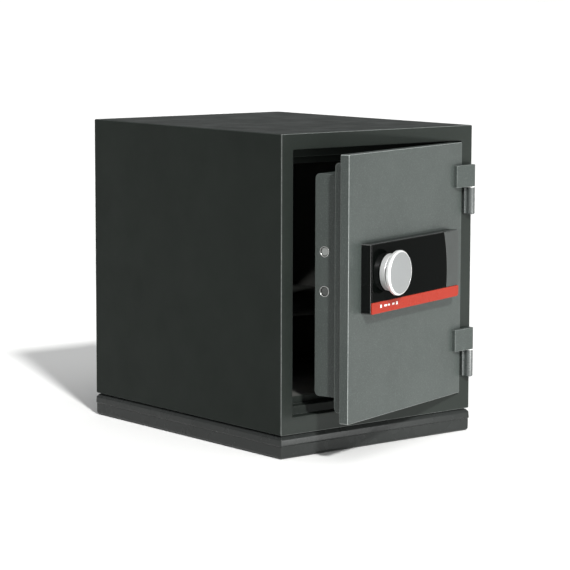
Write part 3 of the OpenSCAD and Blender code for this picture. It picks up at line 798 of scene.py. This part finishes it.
def make_door_plate():
    """Front plate, folded into a pan: its edges turn back, then inwards."""
    y0, y1 = plate[0].y, plate[1].y
    fold = 1.3 * MM
    flat = 6 * MM
    flange = 20 * MM
    path = rounded_path([
        (flat, y0), (0, y0, fold), (0, y1, fold), (flat, y1),
        (flange, y1), (flange, y1 - sheet),
    ])
    # Its folded edges are lightened with a painted highlight as well as wear.
    piece("door_front_plate", skin(stack_y(rows_on(front_rect(plate), 2.5 * MM, path))), "door",
          "door_paint", ["door_plate"], wear_and_sheen=anywhere)


def wrapped_sheet(low, high, bend):
    """A block bent round at its top rear and bottom rear, with flat sides. Its front runs
    a little into the part before it."""
    front_y = low.y - 1 * MM
    outline = rounded_path([
        (front_y, low.z), (high.y, low.z, bend), (high.y, high.z, bend), (front_y, high.z),
    ], closed=True, steps=8)
    return extrude(outline, side_place, low.x, high.x)


def make_door_step():
    """Second step of the door, behind the plate."""
    low, high = step
    # Its bent edges are lightened with a painted highlight as well as wear.
    piece("door_step_ring", wrapped_sheet(low, high, 7 * MM), "door", "door_paint",
          ["door_step"], bevel=1.2 * MM, wear_and_sheen=anywhere)


def make_door_box():
    """Deep inner box, with holes for the bolts in its free side."""
    low, high = box
    drill = [(0, bolt_hole), (12 * MM, bolt_hole)]
    holes = [lathe((low.x - 1 * MM, y, z), (1, 0, 0), drill) for y, z in bolt_axes()]
    piece("door_inner_box", wrapped_sheet(low, high, 8 * MM), "door", "door_paint",
          ["door_liner"], bevel=0.9 * MM, cutters=holes)


def make_lock_cover():
    """Plate over the lock, and its six screws."""
    y0, y1 = cover[0].y - 0.5 * MM, cover[1].y
    rim = 3 * MM
    path = rounded_path([(rim, y0), (0, y0), (0, y1, 0.7 * MM), (rim, y1)])
    piece("lock_cover_plate", skin(stack_y(rows_on(front_rect(cover), 5 * MM, path))), "door",
          "door_paint", ["lock_cover"])
    low, high = shut_box("cover_screws")
    r = 3 * MM
    seat_y = y1 - 0.2 * MM
    dome = [
        (0, r - 0.3 * MM), (0.3 * MM, r), (0.9 * MM, r - 0.15 * MM),
        (1.4 * MM, r - 0.8 * MM), (1.65 * MM, r - 1.4 * MM),
    ]
    socket = (1.8 * MM, 0.9 * MM)
    heads = [
        lathe((x, seat_y, z), (0, 1, 0), dome, sides=24, socket=socket)
        for x in (low.x + r, high.x - r)
        for z in (low.z + r, (low.z + high.z) / 2, high.z - r)
    ]
    piece("cover_screw_heads", merge(*heads), "door", "plain_steel", ["cover_screws"])


make_door_plate()
make_door_step()
make_door_box()
make_lock_cover()


# ---------------------------------------------------------------- lock panel

housing = shut_box("lock_housing")
face = shut_box("keypad_face")
lid = shut_box("battery_cover")
strip = shut_box("accent_strip")

# The arc between the glossy face and the battery cover: its radius and its centre.
arc_radius = 210 * MM
arc_x = 95.4 * MM - arc_radius
arc_z = plate[0].z + 210.5 * MM


def arc_points(radius, z_from, z_to, steps=28):
    """Points on an arc about the shared centre, at evenly spaced heights."""
    points = []
    for k in range(steps + 1):
        z = z_from + (z_to - z_from) * k / steps
        points.append((arc_x + math.sqrt(radius ** 2 - (z - arc_z) ** 2), z))
    return points


def make_housing():
    """Black housing, with a well for the battery and its clip."""
    y0, y1 = housing[0].y, housing[1].y
    rim = 3 * MM
    path = rounded_path([(rim, y0), (0, y0, 1.0 * MM), (0, y1), (rim, y1)])
    block = skin(stack_y(rows_on(front_rect(housing), 3 * MM, path)))
    battery_low, battery_high = shut_box("battery")
    clip_high = shut_box("battery_clip")[1]
    room = 2.5 * MM
    well_low = Vector((battery_low.x - room, y0 - 5 * MM, battery_low.z - room))
    well_high = Vector((battery_high.x + 1 * MM, y1 - 0.3 * MM, clip_high.z + room))
    well = rounded_box(well_low, well_high, 2 * MM, 0.3 * MM)
    # Its outer edges are lightened with a painted highlight as well as wear.
    piece("lock_housing_moulding", block, "door", "housing_plastic", ["lock_housing"],
          cutters=[well], wear_and_sheen=anywhere)


def make_face():
    """Glossy face, with its right-hand end on the arc."""
    rim = 0.7 * MM
    x0, z0, z1 = face[0].x + rim, face[0].z, face[1].z - rim
    x_in = x0 + 9 * MM
    left = rounded_path([(x_in, z1), (x0, z1, 2.2 * MM), (x0, z0, 0.8 * MM), (x_in, z0)])
    outline = left + arc_points(arc_radius, z0, z1)
    piece("keypad_face_plate", extrude(outline, front_place, face[0].y, face[1].y), "door",
          "keypad_gloss", ["keypad_face"], bevel=0.45 * MM)


def make_battery_cover():
    """Grey end piece, with its left-hand end on the arc, a fine gap from the face."""
    x1, z0, z1 = lid[1].x - 0.9 * MM, lid[0].z, lid[1].z - 0.7 * MM
    x_in = x1 - 9 * MM
    right = rounded_path([(x_in, z0), (x1, z0, 0.8 * MM), (x1, z1, 2.4 * MM), (x_in, z1)])
    seam = 0.35 * MM
    outline = right + arc_points(arc_radius + seam, z1, z0)
    piece("battery_cover_plate", extrude(outline, front_place, lid[0].y, lid[1].y), "battery_cover",
          "cover_paint", ["battery_cover"], bevel=0.45 * MM)


def make_strip():
    """Coloured strip along the panel's lower edge, with plain raised bars."""
    x0, x1, z0, z1 = front_rect(strip)
    outline = rounded_path([
        (x0, z0, 1.5 * MM), (x1, z0, 5.5 * MM), (x1, z1, 2.5 * MM), (x0, z1, 1.0 * MM),
    ], closed=True, steps=6)
    piece("accent_strip_moulding", extrude(outline, front_place, strip[0].y, strip[1].y), "door",
          "strip_red", ["accent_strip"], bevel=0.7 * MM)
    first_x = x0 + 24 * MM
    pitch = 12 * MM
    middle_z = z0 + 10.5 * MM
    bar_y0 = strip[0].y - 0.08 * MM
    bar_y1 = strip[0].y + 0.3 * MM
    sizes_mm = [(5, 5), (9, 3), (5, 3), (7, 3), (5, 5)]
    bars = []
    for k, (width, height) in enumerate(sizes_mm):
        x = first_x + pitch * k
        half = height / 2 * MM
        low = Vector((x, bar_y0, middle_z - half))
        high = Vector((x + width * MM, bar_y1, middle_z + half))
        bars.append(rounded_box(low, high, 0.9 * MM, 0.05 * MM, steps=2))
    piece("strip_mark_bars", merge(*bars), "door", "strip_red", look="mark_white")


def make_knob():
    """Turned knob: rear disc, groove, and a wide front disc with a satin cap in its face.
    The cap's darker finish is painted shade, and the rims' near-white edges are a painted highlight.
    """
    low, high = shut_box("knob")
    centre = Vector(((low.x + high.x) / 2, high.y, (low.z + high.z) / 2))
    r = (high.x - low.x) / 2
    hub_r = 12 * MM
    pin_r = 3 * MM
    rear_r = 29 * MM
    groove_r = 24 * MM
    rear_t = 9.8 * MM
    groove_end = 14.8 * MM
    top = high.y - low.y
    chamfer = 2 * MM
    cap_r = r - 2.6 * MM
    cap_seat = top - 1 * MM
    cap_top = top - 0.05 * MM
    profile = rounded_path([
        (0, hub_r),
        (0, rear_r, 1.0 * MM),
        (rear_t, rear_r, 1.2 * MM),
        (rear_t, groove_r, 1.0 * MM),
        (groove_end, groove_r, 1.0 * MM),
        (groove_end, r, 1.2 * MM),
        (top - chamfer, r, 0.4 * MM),
        (top, r - chamfer, 0.4 * MM),
        (top, cap_r, 0.1 * MM),
        (cap_seat, cap_r),
        (cap_seat, pin_r),
    ], steps=4)
    body = lathe(centre, (0, -1, 0), profile, sides=128)
    piece("knob_turning", body, "knob", "knob_metal", ["knob"])
    cap_edge = cap_r - 0.1 * MM
    cap_profile = rounded_path([
        (cap_seat, cap_edge), (cap_top, cap_edge, 0.2 * MM), (cap_top, pin_r),
    ])
    cap = lathe(centre, (0, -1, 0), cap_profile, sides=128)
    piece("knob_cap", cap, "knob", "knob_metal", look="knob_satin_shaded")


make_housing()
make_face()
make_battery_cover()
make_strip()
make_knob()


# ---------------------------------------------------------------- locking bolts

def make_bolts():
    """Two round bolts, each set back a little in a thin bright bush. The lower one is painted darker
    than the upper, as painted shade.
    """
    low, high = shut_box("locking_bolts")
    bush_low, bush_high = shut_box("bolt_bushes")
    r = bolt_radius
    set_back = 1.4 * MM
    reach = high.x - low.x - set_back
    length = bush_high.x - bush_low.x
    outer = r + 1.6 * MM
    bore = r + 0.15 * MM
    chamfer = 0.8 * MM
    bolt_profile = rounded_path([
        (0, 0.5 * MM), (0, r, 0.4 * MM), (reach - chamfer, r, 0.3 * MM),
        (reach, r - chamfer, 0.3 * MM), (reach, 1 * MM),
    ])
    bush_profile = rounded_path([
        (0, bore), (0, outer), (length, outer, 0.35 * MM), (length, bore + 0.4 * MM, 0.2 * MM),
        (length - 0.5 * MM, bore),
    ], closed=True, steps=3)
    bushes = []
    names = ("locking_bolt_lower", "locking_bolt_upper")
    # The lower bolt's darker look is painted shade.
    looks = ("steel_painted_shade", "grey_steel")
    for name, look, (y, z) in zip(names, looks, bolt_axes()):
        piece(name, lathe((high.x, y, z), (-1, 0, 0), bolt_profile), "bolts", "bright_steel",
              ["locking_bolts"], look=look)
        bushes.append(turned_tube((bush_high.x, y, z), (-1, 0, 0), bush_profile))
    piece("bolt_bush_rings", merge(*bushes), "door", "bright_steel", ["bolt_bushes"])


make_bolts()


# ---------------------------------------------------------------- stage

def make_floor():
    """Plain pale floor that runs to the horizon."""
    bm = bmesh.new()
    bmesh.ops.create_circle(bm, cap_ends=True, segments=96, radius=90.0)
    mesh = bpy.data.meshes.new("floor")
    bm.to_mesh(mesh)
    bm.free()
    floor = bpy.data.objects.new("floor", mesh)
    bpy.context.scene.collection.objects.link(floor)
    mat = bpy.data.materials.new("floor_pale")
    mat.use_nodes = True
    shader = mat.node_tree.nodes["Principled BSDF"]
    shader.inputs["Base Color"].default_value = (0.80, 0.80, 0.79, 1)
    shader.inputs["Roughness"].default_value = 0.9
    shader.inputs["Specular IOR Level"].default_value = 0.1
    mesh.materials.append(mat)


def sun_light(name, azimuth, elevation, strength, spread):
    """A far soft light, with all angles in degrees. Azimuth 0 is straight in front of the
    cabinet, and -90 is at its left. `spread` is the light's apparent size."""
    az, el = math.radians(azimuth), math.radians(elevation)
    direction = Vector((math.sin(az) * math.cos(el), -math.cos(az) * math.cos(el), math.sin(el)))
    data = bpy.data.lights.new(name, "SUN")
    data.energy = strength
    data.angle = math.radians(spread)
    lamp = bpy.data.objects.new(name, data)
    lamp.rotation_euler = direction.to_track_quat("Z", "Y").to_euler()
    bpy.context.scene.collection.objects.link(lamp)


def low_light(name, place, target, power):
    """A wide, low lamp: light that a pale floor throws back at the front of the cabinet."""
    data = bpy.data.lights.new(name, "AREA")
    data.shape = "RECTANGLE"
    data.size = 0.9
    data.size_y = 0.15
    data.energy = power
    lamp = bpy.data.objects.new(name, data)
    lamp.location = place
    lamp.rotation_euler = (place - target).to_track_quat("Z", "Y").to_euler()
    lamp.visible_camera = False
    bpy.context.scene.collection.objects.link(lamp)


def make_world():
    """Dim studio air that pales towards the horizon."""
    world = bpy.data.worlds.new("studio")
    bpy.context.scene.world = world
    world.use_nodes = True
    n = Nodes(world.node_tree)
    out = n.add("ShaderNodeOutputWorld")
    air = n.add("ShaderNodeBackground")
    split = n.add("ShaderNodeSeparateXYZ")
    n.link(n.add("ShaderNodeTexCoord").outputs["Generated"], split.inputs[0])
    height = n.spread(split.outputs["Z"], 0.005, 0.06, 0.0, 1.0)
    n.link(n.mix(height, (1.0, 1.0, 1.0), (0.38, 0.385, 0.39)), air.inputs["Color"])
    n.link(air.outputs[0], out.inputs["Surface"])


def make_camera():
    """Long lens, a little above the cabinet and to its front left."""
    data = bpy.data.cameras.new("camera")
    data.sensor_width = 36.0
    data.lens = 148.7
    camera = bpy.data.objects.new("camera", data)
    camera.location = (-2.487, -3.058, 0.742)
    camera.rotation_euler = [math.radians(a) for a in (90 - 7.33, -0.16, -39.23)]
    data.clip_end = 300.0
    bpy.context.scene.collection.objects.link(camera)
    bpy.context.scene.camera = camera


make_floor()
sun_light("key", azimuth=-21, elevation=35, strength=4.3, spread=4.5)
sun_light("overhead", azimuth=-10, elevation=68, strength=0.9, spread=50.0)
low_light("low_front", place=Vector((0.35, -1.35, 0.10)), target=Vector((0.05, -0.28, 0.06)),
          power=9.0)
make_world()
make_camera()
bpy.context.scene.view_settings.view_transform = "Standard"
